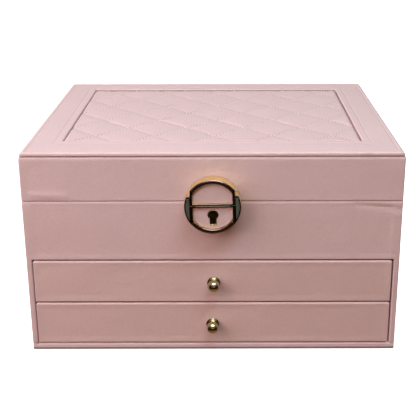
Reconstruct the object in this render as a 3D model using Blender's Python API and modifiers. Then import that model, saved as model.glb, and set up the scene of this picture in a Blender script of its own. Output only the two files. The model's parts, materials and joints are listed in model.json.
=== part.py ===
"""Jewellery chest: a wrapped board case with a hinged lid, two drawers and a round surface lock.

X is the width, Y runs from front (-) to back (+), Z is up. The chest stands on z = 0, and its
origin is under the middle of everything, knobs and hinge knuckles included.
"""
import math

import bmesh
import bpy
from mathutils import Matrix, Vector

MM = 0.001
GAP = 0.3 * MM                # the air left between pieces that touch

# Outer sizes
WIDTH = 260 * MM              # of the lid's top board
DEPTH = 220 * MM
HEIGHT = 149 * MM
WALL = 3 * MM                 # thickness of the wrapped boards
SIDE_WALL = 4.1 * MM          # thickness of the side walls
SIDE_SPREAD = 0.6 * MM        # the side walls stand this far out past the lid's top board
OVERHANG = 0.5 * MM           # the lid's top board stands this far past the front and back walls
EDGE = 0.9 * MM               # radius of a wrapped edge
CORNER = 2.5 * MM             # radius of the front frame's lower corners

# Heights
BASE_FELT = 0.5 * MM
BOTTOM_TOP = 5.6 * MM         # upper face of the bottom board
SPLIT_Z = 38.2 * MM           # middle of the gap between the drawers
PANEL_Z = 70.5 * MM           # middle of the gap under the front panel
SEAM_Z = 114.6 * MM           # middle of the gap between case and lid
TOP_BOARD = 3 * MM
LIP_RISE = 4 * MM             # the lining stands this far above the seam

# Hardware that stands out at the front and at the back
KNOB_REACH = 10.6 * MM
LOCK_REACH = 10.3 * MM
HINGE_OFFSET = 2.0 * MM       # hinge axis behind the back wall
KNUCKLE_R = 1.7 * MM

# Faces of the case. The whole is centred on Y with its hardware on.
HALF_X = WIDTH / 2 + SIDE_SPREAD
FRONT_EXTENT = DEPTH / 2 - OVERHANG + KNOB_REACH + GAP
BACK_EXTENT = DEPTH / 2 - OVERHANG + HINGE_OFFSET + KNUCKLE_R
MIDDLE_Y = (FRONT_EXTENT - BACK_EXTENT) / 2
FRONT_Y = MIDDLE_Y - DEPTH / 2 + OVERHANG
BACK_Y = MIDDLE_Y + DEPTH / 2 - OVERHANG
IN_X = HALF_X - SIDE_WALL     # inner faces of the walls
IN_FRONT = FRONT_Y + WALL
IN_BACK = BACK_Y - WALL
CASE_TOP = SEAM_Z - GAP
LID_BOTTOM = SEAM_Z + GAP
LID_TOP = HEIGHT - TOP_BOARD - GAP

# Sunken field of the lid's top board
FIELD_HALF_X = WIDTH / 2 - 24.9 * MM
FIELD_FRONT = MIDDLE_Y - DEPTH / 2 + 29.5 * MM
FIELD_BACK = MIDDLE_Y + DEPTH / 2 - 24.9 * MM

# Upper compartment
FLOOR_THICK = 2.5 * MM
LINING = 2 * MM
LINING_CLEARANCE = 0.6 * MM
DIVIDER = 2 * MM
DIVIDER_TOP = 104 * MM
ROLL_COUNT = 6
ROLL_PITCH = 17 * MM
ROLL_HEIGHT = 22 * MM

# Lid inside
CEILING = 2.3 * MM
LID_LINING = 1.5 * MM
MIRROR_HALF_X = 88 * MM
MIRROR_HALF_Y = 66 * MM
MIRROR_RIM = 6 * MM
MIRROR_THICK = 2 * MM

# Drawers
DRAWER_FRONT = WALL
DRAWER_HALF_X = 126 * MM
SIDE_GAP = 0.5 * MM           # gap between a drawer front and the rail beside it
TRAY_HALF_X = 125.4 * MM
TRAY_WALL = 2 * MM
TRAY_DEPTH = 205 * MM
DRAWER_PAD = 1.5 * MM
SHELF = 2 * MM

# Knobs
KNOB_X = {"upper": 0.5 * MM, "lower": -0.45 * MM}
KNOB_DROP = 0.8 * MM          # knobs sit this far below the middle of the drawer front
SCREW_R = 1.2 * MM
SCREW_HOLE_R = 1.55 * MM

# Round lock, in its own frame: x to the right, y up from its split, z out from the front
LOCK_X = 0.3 * MM
LOCK_SPLIT_Z = SEAM_Z - 0.1 * MM
LOCK_TILT = math.radians(1.4)
RING_R = 19.1 * MM
RING_DROP = 0.9 * MM          # centre of the ring below the split
WINDOW_R = 16.3 * MM
WINDOW_HALF_X = 13.7 * MM
HASP_HALF_X = 15.1 * MM
EAR_TOP = 6.7 * MM
BAR = 1.1 * MM                # bars on both sides of the split
SPLIT_GAP = 0.15 * MM         # half of the gap in the lock's split
INLAY_FRONT = 9.0 * MM
INLAY_THICK = 1.2 * MM
KEY_Y = -6.8 * MM
KEYHOLE_R = 3.3 * MM
KEYHOLE_SLOT_HALF_X = 2.0 * MM
KEYHOLE_BOTTOM = -13.6 * MM
POST_R = 0.65 * MM
TUMBLER_R = 3.2 * MM
CAM_LENGTH = 4.8 * MM
CAM_HALF_X = 1.2 * MM
WORKS_BACK = 4.2 * MM         # tongue and cam lie between these distances from the front
WORKS_FRONT = 6.2 * MM

# Hinges
HINGE_X = 75 * MM
LEAF_HALF_X = 12 * MM
LEAF_HEIGHT = 13 * MM
LEAF_THICK = 0.8 * MM
MIDDLE_KNUCKLE_HALF_X = 4 * MM
PIN_R = 0.6 * MM
KNUCKLE_BORE_R = 0.95 * MM
HINGE_Y = BACK_Y + HINGE_OFFSET

PINK = (0.56, 0.33, 0.31)
PALE_PINK = (0.66, 0.45, 0.44)
VELVET = (0.62, 0.50, 0.46)
GOLD = (0.63, 0.47, 0.22)


def clear_scene():
    for thing in list(bpy.data.objects):
        bpy.data.objects.remove(thing, do_unlink=True)


def new_collection(name):
    collection = bpy.data.collections.new(name)
    bpy.context.scene.collection.children.link(collection)
    return collection


def material(name, color, roughness, metallic=0.0):
    mat = bpy.data.materials.new(name)
    mat.use_nodes = True
    shader = mat.node_tree.nodes["Principled BSDF"]
    shader.inputs["Base Color"].default_value = (*color, 1.0)
    shader.inputs["Roughness"].default_value = roughness
    shader.inputs["Metallic"].default_value = metallic
    return mat


def finish_piece(piece, look, parent=None):
    """Give a piece its own copy of a look and hang it on its joint's empty."""
    piece.data.materials.clear()
    piece.data.materials.append(material(piece.name, *look))
    PARTS.objects.link(piece)
    if parent:
        piece.parent = parent
        piece.matrix_parent_inverse = Matrix.Translation(parent.location).inverted()
    return piece


def joint_empty(name, location):
    empty = bpy.data.objects.new(name, None)
    empty.location = location
    PARTS.objects.link(empty)
    return empty


def cube_mesh(name, size):
    mesh = bpy.data.meshes.new(name)
    work = bmesh.new()
    bmesh.ops.create_cube(work, size=1.0, matrix=Matrix.Diagonal((*size, 1.0)))
    work.to_mesh(mesh)
    work.free()
    return mesh


def box_between(name, low, high):
    low, high = Vector(low), Vector(high)
    box = bpy.data.objects.new(name, cube_mesh(name, high - low))
    box.location = (low + high) / 2
    return box


def round_edges(piece, radius, segments=2):
    bevel = piece.modifiers.new("wrapped edges", "BEVEL")
    bevel.width = radius
    bevel.segments = segments
    bevel.limit_method = "ANGLE"


def board(name, low, high, look, parent=None, edge=0.0):
    """A rectangular board between two corners, with rounded edges if edge is given."""
    piece = box_between(name, low, high)
    if edge:
        round_edges(piece, edge)
    return finish_piece(piece, look, parent)


def cylinder_mesh(name, radius, length, segments=24):
    mesh = bpy.data.meshes.new(name)
    work = bmesh.new()
    bmesh.ops.create_cone(work, cap_ends=True, segments=segments,
                          radius1=radius, radius2=radius, depth=length)
    work.to_mesh(mesh)
    work.free()
    mesh.shade_smooth()
    mesh.set_sharp_from_angle(angle=math.radians(40))
    return mesh


def cylinder(name, radius, length, matrix, segments=24):
    """A cylinder along the matrix's Z, centred on its origin."""
    rod = bpy.data.objects.new(name, cylinder_mesh(name, radius, length, segments))
    rod.matrix_basis = matrix
    return rod


def add_tool(tool):
    """Keep a cutter or a joined helper out of the model."""
    CUTTERS.objects.link(tool)
    tool.hide_render = True
    tool.display_type = "WIRE"
    return tool


def boolean(piece, tool, operation):
    modifier = piece.modifiers.new(tool.name, "BOOLEAN")
    modifier.operation = operation
    modifier.solver = "EXACT"
    modifier.object = add_tool(tool)


def arc(centre, radius, start, end, steps):
    """Points on an arc, angles in degrees from +X."""
    angles = [math.radians(start + (end - start) * i / steps) for i in range(steps + 1)]
    return [(centre[0] + radius * math.cos(a), centre[1] + radius * math.sin(a)) for a in angles]


def plate(name, outlines, back, front, frame=Matrix.Identity(4)):
    """A flat plate: 2D outlines in the frame's XY plane, between two heights on its Z."""
    curve = bpy.data.curves.new(name, "CURVE")
    curve.dimensions = "2D"
    curve.fill_mode = "BOTH"
    curve.extrude = (front - back) / 2
    for outline in outlines:
        spline = curve.splines.new("POLY")
        spline.points.add(len(outline) - 1)
        for point, (x, y) in zip(spline.points, outline):
            point.co = (x, y, 0, 1)
        spline.use_cyclic_u = True
    flat = bpy.data.objects.new(name, curve)
    flat.matrix_basis = frame @ Matrix.Translation((0, 0, (front + back) / 2))
    return as_mesh(flat)


def as_mesh(flat):
    """The curve as a welded mesh object, so that it can be cut and joined."""
    CUTTERS.objects.link(flat)
    bpy.context.view_layer.update()
    evaluated = flat.evaluated_get(bpy.context.evaluated_depsgraph_get())
    mesh = bpy.data.meshes.new_from_object(evaluated)
    work = bmesh.new()
    work.from_mesh(mesh)
    bmesh.ops.remove_doubles(work, verts=work.verts, dist=1e-6)
    bmesh.ops.recalc_face_normals(work, faces=work.faces)
    work.to_mesh(mesh)
    work.free()
    name, matrix = flat.name, flat.matrix_basis.copy()
    bpy.data.objects.remove(flat)
    piece = bpy.data.objects.new(name, mesh)
    piece.matrix_basis = matrix
    return piece


def turned(name, profile, matrix, steps=24):
    """A solid turned about the matrix's Z from (radius, height) points, top to bottom."""
    mesh = bpy.data.meshes.new(name)
    points = [(radius, 0.0, height) for radius, height in profile]
    mesh.from_pydata(points, [(i, i + 1) for i in range(len(points) - 1)], [])
    piece = bpy.data.objects.new(name, mesh)
    piece.matrix_basis = matrix
    screw = piece.modifiers.new("turn", "SCREW")
    screw.steps = screw.render_steps = steps
    screw.use_merge_vertices = True
    screw.merge_threshold = 1e-6
    return piece


def make_case():
    """Bottom, walls, front panel, shelf and floor: everything that stays still."""
    leather = (PINK, 0.5)
    velvet = (VELVET, 0.95)
    board("base_felt", (-HALF_X + WALL, FRONT_Y + WALL, 0), (HALF_X - WALL, BACK_Y - WALL, BASE_FELT), velvet)
    board("bottom_board", (-HALF_X, IN_FRONT + GAP, BASE_FELT + GAP), (HALF_X, BACK_Y, BOTTOM_TOP),
          leather, edge=EDGE)
    wall_low, wall_high = (IN_FRONT + GAP, BOTTOM_TOP + GAP), (IN_BACK - GAP, CASE_TOP)
    board("side_wall_left", (-HALF_X, *wall_low), (-IN_X, *wall_high), leather, edge=EDGE)
    board("side_wall_right", (IN_X, *wall_low), (HALF_X, *wall_high), leather, edge=EDGE)
    board("back_wall", (-HALF_X, IN_BACK, BOTTOM_TOP + GAP), (HALF_X, BACK_Y, CASE_TOP), leather, edge=EDGE)
    make_front_frame(leather)
    inner_low = (-IN_X + GAP, IN_FRONT + GAP)
    inner_high = (IN_X - GAP, IN_BACK - GAP)
    floor_low = PANEL_Z + GAP
    board("tray_floor", (*inner_low, floor_low), (*inner_high, floor_low + FLOOR_THICK), velvet)
    board("drawer_shelf", (*inner_low, SPLIT_Z - SHELF / 2), (*inner_high, SPLIT_Z + SHELF / 2), leather)


def make_front_frame(look):
    """The front panel and, in one piece with it, the narrow rails around the drawers."""
    low_z = BASE_FELT + GAP
    outer = [(HALF_X, CASE_TOP), (-HALF_X, CASE_TOP)]
    outer += arc((-HALF_X + CORNER, low_z + CORNER), CORNER, 180, 270, 5)
    outer += arc((HALF_X - CORNER, low_z + CORNER), CORNER, 270, 360, 5)
    half = DRAWER_HALF_X + SIDE_GAP
    opening = [(-half, BOTTOM_TOP), (half, BOTTOM_TOP), (half, PANEL_Z + GAP), (-half, PANEL_Z + GAP)]
    upright = Matrix.Translation((0, FRONT_Y, 0)) @ Matrix.Rotation(math.pi / 2, 4, "X")
    frame = plate("front_frame", [outer, opening], -WALL, 0, upright)
    round_edges(frame, EDGE)
    finish_piece(frame, look)


def make_compartment():
    """Lining walls, dividers and ring rolls over the upper compartment's floor."""
    velvet = (VELVET, 0.95)
    low_z = PANEL_Z + GAP + FLOOR_THICK + GAP
    high_z = SEAM_Z + LIP_RISE
    out_x = IN_X - LINING_CLEARANCE
    out_front = IN_FRONT + LINING_CLEARANCE
    out_back = IN_BACK - LINING_CLEARANCE
    clear_x = out_x - LINING - GAP
    clear_front = out_front + LINING + GAP
    clear_back = out_back - LINING - GAP
    board("lining_front", (-out_x, out_front, low_z), (out_x, out_front + LINING, high_z), velvet, edge=0.5 * MM)
    board("lining_back", (-out_x, out_back - LINING, low_z), (out_x, out_back, high_z), velvet, edge=0.5 * MM)
    board("lining_left", (-out_x, clear_front, low_z), (-out_x + LINING, clear_back, high_z), velvet,
          edge=0.5 * MM)
    board("lining_right", (out_x - LINING, clear_front, low_z), (out_x, clear_back, high_z), velvet,
          edge=0.5 * MM)

    main_x = -clear_x + 102 * MM
    rolls_back = clear_front + ROLL_COUNT * ROLL_PITCH + GAP
    right_low = main_x + DIVIDER + GAP
    third = (clear_back - clear_front) / 3
    cross_x = (right_low + clear_x) / 2
    front_y = clear_front + third
    back_y = clear_front + 2 * third

    def divider(name, low, high):
        board(name, (*low, low_z), (*high, DIVIDER_TOP), velvet, edge=0.5 * MM)

    divider("divider_main", (main_x, clear_front), (main_x + DIVIDER, clear_back))
    divider("divider_left", (-clear_x, rolls_back), (main_x - GAP, rolls_back + DIVIDER))
    divider("divider_right_front", (right_low, front_y), (clear_x, front_y + DIVIDER))
    divider("divider_right_back", (right_low, back_y), (clear_x, back_y + DIVIDER))
    divider("divider_cross", (cross_x, front_y + DIVIDER + GAP), (cross_x + DIVIDER, back_y - GAP))
    for i in range(ROLL_COUNT):
        make_ring_roll(i, (-clear_x, main_x - GAP), clear_front + (i + 0.5) * ROLL_PITCH, low_z, velvet)


def make_ring_roll(index, span_x, middle_y, low_z, look):
    """A soft roll with a flat base and a round top, lying along X."""
    radius = (ROLL_PITCH - GAP) / 2
    centre = (middle_y, low_z + ROLL_HEIGHT - radius)
    outline = [(middle_y - radius, low_z), (middle_y + radius, low_z)] + arc(centre, radius, 0, 180, 12)
    lies_in_yz = Matrix(((0, 0, 1, 0), (1, 0, 0, 0), (0, 1, 0, 0), (0, 0, 0, 1)))
    finish_piece(plate(f"ring_roll_{index + 1}", [outline], *span_x, frame=lies_in_yz), look)


def make_lid(axis):
    """Four walls, a top board with a sunken field, the quilted panel, and the mirror inside."""
    leather = (PINK, 0.5)
    pale = (PALE_PINK, 0.5)
    velvet = (VELVET, 0.95)
    board("lid_wall_front", (-HALF_X, FRONT_Y, LID_BOTTOM), (HALF_X, IN_FRONT, LID_TOP), leather, axis, EDGE)
    board("lid_wall_back", (-HALF_X, IN_BACK, LID_BOTTOM), (HALF_X, BACK_Y, LID_TOP), leather, axis, EDGE)
    board("lid_wall_left", (-HALF_X, IN_FRONT + GAP, LID_BOTTOM), (-IN_X, IN_BACK - GAP, LID_TOP),
          leather, axis, EDGE)
    board("lid_wall_right", (IN_X, IN_FRONT + GAP, LID_BOTTOM), (HALF_X, IN_BACK - GAP, LID_TOP),
          leather, axis, EDGE)

    top_z = HEIGHT - TOP_BOARD
    frame = box_between("lid_top_board", (-WIDTH / 2, MIDDLE_Y - DEPTH / 2, top_z),
                        (WIDTH / 2, MIDDLE_Y + DEPTH / 2, HEIGHT))
    field = box_between("field_cutter", (-FIELD_HALF_X, FIELD_FRONT, top_z - TOP_BOARD),
                        (FIELD_HALF_X, FIELD_BACK, HEIGHT + TOP_BOARD))
    boolean(frame, field, "DIFFERENCE")
    round_edges(frame, EDGE)
    finish_piece(frame, pale, axis)
    board("quilted_panel", (-FIELD_HALF_X + GAP, FIELD_FRONT + GAP, top_z),
          (FIELD_HALF_X - GAP, FIELD_BACK - GAP, HEIGHT - 1.4 * MM), pale, axis, 0.5 * MM)

    low, high = (-IN_X + GAP, IN_FRONT + GAP), (IN_X - GAP, IN_BACK - GAP)
    board("lid_ceiling", (*low, LID_TOP - CEILING), (*high, LID_TOP), velvet, axis)
    lining_top = LID_TOP - CEILING - GAP
    board("lid_lining", (*low, lining_top - LID_LINING), (*high, lining_top), velvet, axis, 0.5 * MM)
    mirror_top = lining_top - LID_LINING - GAP
    mirror_low = mirror_top - MIRROR_THICK
    rim = box_between("mirror_frame",
                      (-MIRROR_HALF_X - MIRROR_RIM, MIDDLE_Y - MIRROR_HALF_Y - MIRROR_RIM, mirror_low - GAP),
                      (MIRROR_HALF_X + MIRROR_RIM, MIDDLE_Y + MIRROR_HALF_Y + MIRROR_RIM, mirror_top))
    opening = box_between("mirror_cutter",
                          (-MIRROR_HALF_X - GAP, MIDDLE_Y - MIRROR_HALF_Y - GAP, mirror_low - WALL),
                          (MIRROR_HALF_X + GAP, MIDDLE_Y + MIRROR_HALF_Y + GAP, mirror_top + WALL))
    boolean(rim, opening, "DIFFERENCE")
    finish_piece(rim, leather, axis)
    board("mirror_glass", (-MIRROR_HALF_X, MIDDLE_Y - MIRROR_HALF_Y, mirror_low),
          (MIRROR_HALF_X, MIDDLE_Y + MIRROR_HALF_Y, mirror_top), ((0.85, 0.87, 0.88), 0.03, 1.0), axis)


def make_hinge(side, lid_axis):
    """A butt hinge on the back: two leaves with interleaved knuckles, and a pin."""
    name = "left" if side < 0 else "right"
    gold = (GOLD, 0.2, 1.0)
    along_x = Matrix.Rotation(math.pi / 2, 4, "Y")
    outer_half = (LEAF_HALF_X - MIDDLE_KNUCKLE_HALF_X - GAP) / 2
    outer_x = MIDDLE_KNUCKLE_HALF_X + GAP + outer_half
    knuckles = {"lower": [(0.0, MIDDLE_KNUCKLE_HALF_X)],
                "upper": [(-outer_x, outer_half), (outer_x, outer_half)]}
    plate_y = (BACK_Y + GAP, BACK_Y + GAP + LEAF_THICK)
    for leaf, way in (("lower", -1), ("upper", 1)):
        near, far = sorted((SEAM_Z + way * (KNUCKLE_R + 0.4 * MM), SEAM_Z + way * LEAF_HEIGHT))
        piece = box_between(f"hinge_{leaf}_leaf_{name}", (side * HINGE_X - LEAF_HALF_X, plate_y[0], near),
                            (side * HINGE_X + LEAF_HALF_X, plate_y[1], far))
        for i, (offset, half) in enumerate(knuckles[leaf]):
            x = side * HINGE_X + offset
            low, high = sorted((SEAM_Z, SEAM_Z + way * (KNUCKLE_R + 0.6 * MM)))
            boolean(piece, box_between(f"{piece.name}_tab_{i}", (x - half, plate_y[0], low),
                                       (x + half, plate_y[1], high)), "UNION")
            at_axis = Matrix.Translation((x, HINGE_Y, SEAM_Z)) @ along_x
            boolean(piece, cylinder(f"{piece.name}_knuckle_{i}", KNUCKLE_R, 2 * half, at_axis), "UNION")
        centre = Matrix.Translation((side * HINGE_X, HINGE_Y, SEAM_Z)) @ along_x
        boolean(piece, cylinder(f"{piece.name}_bore", KNUCKLE_BORE_R, 3 * LEAF_HALF_X, centre), "DIFFERENCE")
        finish_piece(piece, gold, lid_axis if leaf == "upper" else None)
    pin = cylinder(f"hinge_pin_{name}", PIN_R, 2 * LEAF_HALF_X + 1 * MM, centre, 16)
    finish_piece(pin, gold)


def drawer_heights(which):
    """Bottom and top of a drawer front, and of the tray behind it."""
    if which == "lower":
        return (BOTTOM_TOP + 2 * GAP, SPLIT_Z - GAP, BOTTOM_TOP + 2 * GAP,
                SPLIT_Z - SHELF / 2 - 2.5 * MM)
    return (SPLIT_Z + GAP, PANEL_Z - GAP, SPLIT_Z + SHELF / 2 + 2 * GAP, PANEL_Z - 3 * MM)


def make_drawer(which):
    """A wrapped front, a lined tray behind it with a divider, and a knob with its screw."""
    leather = (PINK, 0.5)
    velvet = (VELVET, 0.95)
    gold = (GOLD, 0.15, 1.0)
    low, high, tray_low, tray_high = drawer_heights(which)
    knob_at = Vector((KNOB_X[which], FRONT_Y, (low + high) / 2 - KNOB_DROP))
    axis = joint_empty(f"drawer_{which}_slide", knob_at)
    to_front = Matrix.Translation(knob_at) @ Matrix.Rotation(math.pi / 2, 4, "X")

    front = box_between(f"drawer_{which}_front", (-DRAWER_HALF_X, FRONT_Y, low),
                        (DRAWER_HALF_X, FRONT_Y + DRAWER_FRONT, high))
    round_edges(front, EDGE)
    tray_front = FRONT_Y + DRAWER_FRONT + GAP
    tray_back = tray_front + TRAY_DEPTH
    tray = box_between(f"drawer_{which}_tray", (-TRAY_HALF_X, tray_front, tray_low),
                       (TRAY_HALF_X, tray_back, tray_high))
    hollow_x = TRAY_HALF_X - TRAY_WALL
    hollow = box_between(f"{tray.name}_hollow", (-hollow_x, tray_front + TRAY_WALL, tray_low + TRAY_WALL),
                         (hollow_x, tray_back - TRAY_WALL, tray_high + TRAY_WALL))
    boolean(tray, hollow, "DIFFERENCE")
    for piece in (front, tray):
        hole = cylinder(f"{piece.name}_hole", SCREW_HOLE_R, 6 * DRAWER_FRONT, to_front)
        boolean(piece, hole, "DIFFERENCE")
    finish_piece(front, leather, axis)
    finish_piece(tray, velvet, axis)

    pad_low = tray_low + TRAY_WALL + GAP
    inner_x = hollow_x - GAP
    inner_front = tray_front + TRAY_WALL + GAP
    inner_back = tray_back - TRAY_WALL - GAP
    board(f"drawer_{which}_pad", (-inner_x, inner_front, pad_low), (inner_x, inner_back, pad_low + DRAWER_PAD),
          velvet, axis, 0.4 * MM)
    divider_y = inner_front + (inner_back - inner_front) * (0.5 if which == "upper" else 0.36)
    board(f"drawer_{which}_divider", (-inner_x, divider_y, pad_low + DRAWER_PAD + GAP),
          (inner_x, divider_y + DIVIDER, tray_high - 4 * MM), velvet, axis, 0.4 * MM)

    make_knob(which, to_front @ Matrix.Translation((0, 0, GAP)), gold, axis)
    head_back = DRAWER_FRONT + TRAY_WALL + 2 * GAP
    profile = [(0, 4.0), (SCREW_R / MM, 4.0), (SCREW_R / MM, -head_back / MM),
               (2.6, -head_back / MM), (2.6, -head_back / MM - 1.2), (0, -head_back / MM - 1.2)]
    screw = turned(f"drawer_{which}_screw", [(r * MM, z * MM) for r, z in profile], to_front, 16)
    finish_piece(screw, gold, axis)


def make_knob(which, matrix, look, axis):
    """A collar, a neck and a ball, with a blind hole for the screw."""
    ball_r = 3.85
    ball_z = KNOB_REACH / MM - ball_r
    neck = [(2.5, 4.3), (2.2, 3.4), (2.5, 2.5), (3.4, 1.8), (4.3, 1.4), (4.6, 1.0), (4.6, 0), (0, 0)]
    ball = arc((0, ball_z), ball_r, 90, -40, 12)
    ball[0] = (0, ball_z + ball_r)
    knob = turned(f"drawer_{which}_knob", [(r * MM, z * MM) for r, z in ball + neck], matrix)
    hole = cylinder(f"{knob.name}_hole", SCREW_HOLE_R, 9 * MM, matrix, 16)
    boolean(knob, hole, "DIFFERENCE")
    finish_piece(knob, look, axis)


def lock_frame():
    """The lock's own frame: X right, Y up from the split, Z out of the front face."""
    at = Matrix.Translation((LOCK_X, FRONT_Y, LOCK_SPLIT_Z))
    return at @ Matrix.Rotation(math.pi / 2, 4, "X") @ Matrix.Rotation(LOCK_TILT, 4, "Z")


def arc_between(radius, half_x, way, steps=20):
    """The upper (way 1) or lower (way -1) arc of the ring, where |x| stays within half_x."""
    tilt = math.degrees(math.acos(half_x / radius))
    start, end = (tilt, 180 - tilt) if way > 0 else (180 + tilt, 360 - tilt)
    return arc((0, -RING_DROP), radius, start, end, steps)


def half_outline(radius, half_x, way, split):
    """One half of a round outline with straight sides, cut off flat at a height."""
    points = arc_between(radius, half_x, way)
    ends = [(-half_x, split), (half_x, split)] if way > 0 else [(half_x, split), (-half_x, split)]
    return points + ends


def make_hasp(lid_axis):
    """The lid's half of the lock: a frame, a leather inlay, and the tongue that the cam catches."""
    gold = (GOLD, 0.12, 1.0)
    frame = lock_frame()
    outer = half_outline(RING_R, HASP_HALF_X, 1, SPLIT_GAP)
    window = half_outline(WINDOW_R, WINDOW_HALF_X, 1, SPLIT_GAP + BAR)
    hasp = plate("hasp_frame", [outer, window], GAP, LOCK_REACH, frame)
    tongue_x = (6.2 * MM, 8.6 * MM)
    tongue_slot = box_between("hasp_slot", (tongue_x[0] - GAP, -BAR, WORKS_BACK - GAP),
                              (tongue_x[1] + GAP, 2 * BAR, WORKS_FRONT + GAP))
    tongue_slot.matrix_basis = frame @ tongue_slot.matrix_basis
    boolean(hasp, tongue_slot, "DIFFERENCE")
    finish_piece(hasp, gold, lid_axis)
    inlay = half_outline(WINDOW_R - GAP, WINDOW_HALF_X - GAP, 1, SPLIT_GAP + BAR + GAP)
    finish_piece(plate("hasp_inlay", [inlay], INLAY_FRONT - INLAY_THICK, INLAY_FRONT, frame),
                 (PINK, 0.5), lid_axis)
    foot_top = KEY_Y - CAM_HALF_X - GAP - 0.1 * MM
    foot_low = foot_top - 1.6 * MM
    hook = [(tongue_x[0], 5 * MM), (tongue_x[0], foot_top), (3.8 * MM, foot_top), (3.8 * MM, foot_low),
            (tongue_x[1], foot_low), (tongue_x[1], 5 * MM)]
    finish_piece(plate("hasp_tongue", [hook], WORKS_BACK, WORKS_FRONT, frame), gold, lid_axis)


def case_outline():
    """The case's half of the ring, with an ear up each side of the hasp."""
    ear_in = HASP_HALF_X + GAP + 0.05 * MM
    ear_angle = math.degrees(math.asin((EAR_TOP + RING_DROP) / RING_R))
    ring = arc((0, -RING_DROP), RING_R, 180 - ear_angle, 360 + ear_angle, 40)
    return ring + [(ear_in, EAR_TOP), (ear_in, -SPLIT_GAP), (-ear_in, -SPLIT_GAP), (-ear_in, EAR_TOP)]


def keyhole_outline():
    opening = math.degrees(math.asin(KEYHOLE_SLOT_HALF_X / KEYHOLE_R))
    head = arc((0, KEY_Y), KEYHOLE_R, -90 + opening, 270 - opening, 20)
    return head + [(-KEYHOLE_SLOT_HALF_X, KEYHOLE_BOTTOM), (KEYHOLE_SLOT_HALF_X, KEYHOLE_BOTTOM)]


def make_lock():
    """The case's half of the lock: ring with ears, inlay with a keyhole, back plate with a post."""
    gold = (GOLD, 0.12, 1.0)
    frame = lock_frame()
    window = half_outline(WINDOW_R, WINDOW_HALF_X, -1, -SPLIT_GAP - BAR)
    case = plate("lock_case", [case_outline(), window], GAP, LOCK_REACH, frame)
    slot = box_between("lock_slot", (3.3 * MM, -2 * BAR, WORKS_BACK - 0.4 * MM),
                       (9.2 * MM, BAR, WORKS_FRONT + 0.4 * MM))
    slot.matrix_basis = frame @ slot.matrix_basis
    boolean(case, slot, "DIFFERENCE")
    finish_piece(case, gold)

    inner = half_outline(WINDOW_R - GAP, WINDOW_HALF_X - GAP, -1, -SPLIT_GAP - BAR - GAP)
    finish_piece(plate("lock_inlay", [inner, keyhole_outline()], INLAY_FRONT - INLAY_THICK, INLAY_FRONT,
                       frame), (PINK, 0.5))
    back = plate("lock_back_plate", [inner], GAP, 1.3 * MM, frame)
    at_key = frame @ Matrix.Translation((0, KEY_Y, 0))
    post = cylinder("lock_post", POST_R, 8 * MM, at_key @ Matrix.Translation((0, 0, 4.6 * MM)), 16)
    boolean(back, post, "UNION")
    finish_piece(back, gold)
    make_tumbler(at_key)


def make_tumbler(at_key):
    """A disc on the post, with a cam that the key turns from straight up to over the tongue's foot."""
    axis = joint_empty("lock_turn", at_key.translation)
    body_back, body_front = WORKS_BACK, WORKS_FRONT
    middle = (body_back + body_front) / 2
    disc = cylinder("lock_tumbler", TUMBLER_R, body_front - body_back,
                    at_key @ Matrix.Translation((0, 0, middle)), 32)
    cam = box_between("cam", (-CAM_HALF_X, 0, body_back), (CAM_HALF_X, CAM_LENGTH, body_front))
    cam.matrix_basis = at_key @ cam.matrix_basis
    boolean(disc, cam, "UNION")
    bore = cylinder("tumbler_bore", POST_R + GAP, 20 * MM, at_key, 16)
    boolean(disc, bore, "DIFFERENCE")
    finish_piece(disc, (GOLD, 0.3, 1.0), axis)


clear_scene()
PARTS = new_collection("jewellery_chest")
CUTTERS = new_collection("cutters")
LID_AXIS = joint_empty("lid_hinge", (0, HINGE_Y, SEAM_Z))
make_case()
make_compartment()
make_lid(LID_AXIS)
for hinge_side in (-1, 1):
    make_hinge(hinge_side, LID_AXIS)
for drawer in ("upper", "lower"):
    make_drawer(drawer)
make_hasp(LID_AXIS)
make_lock()
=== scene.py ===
"""Looks of a pink leatherette jewellery chest with a hinged lid, two drawers and a round lock.

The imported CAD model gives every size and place. The boards become wrapped leatherette with soft
edges, the lid gets its quilted panel and stitching, and the metal, velvet and mirror their finish.
"""

import json
import math
import random

import bmesh
import bpy
from mathutils import Matrix, Vector, noise


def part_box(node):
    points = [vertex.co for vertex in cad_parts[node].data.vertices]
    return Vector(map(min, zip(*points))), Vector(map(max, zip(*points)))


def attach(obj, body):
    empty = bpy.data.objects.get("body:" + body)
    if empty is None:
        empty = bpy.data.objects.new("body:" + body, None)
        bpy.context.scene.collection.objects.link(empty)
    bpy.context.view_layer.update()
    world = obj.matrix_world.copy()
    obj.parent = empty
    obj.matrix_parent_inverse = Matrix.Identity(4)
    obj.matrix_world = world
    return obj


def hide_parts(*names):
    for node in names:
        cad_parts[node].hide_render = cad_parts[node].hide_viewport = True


MM = 0.001

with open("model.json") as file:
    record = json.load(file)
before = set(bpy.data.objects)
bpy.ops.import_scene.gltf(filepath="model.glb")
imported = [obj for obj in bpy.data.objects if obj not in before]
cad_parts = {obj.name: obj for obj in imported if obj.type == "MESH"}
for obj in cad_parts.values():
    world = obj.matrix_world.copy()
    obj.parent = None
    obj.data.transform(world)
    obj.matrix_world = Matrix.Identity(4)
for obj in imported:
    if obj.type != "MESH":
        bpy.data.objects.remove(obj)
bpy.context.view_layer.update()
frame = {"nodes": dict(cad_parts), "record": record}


# ---- sizes read from the frame
def span(*nodes):
    """Lowest and highest corner of several CAD nodes together."""
    corners = [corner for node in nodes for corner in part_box(node)]
    low = Vector(min(c[i] for c in corners) for i in range(3))
    high = Vector(max(c[i] for c in corners) for i in range(3))
    return low, high


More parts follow.
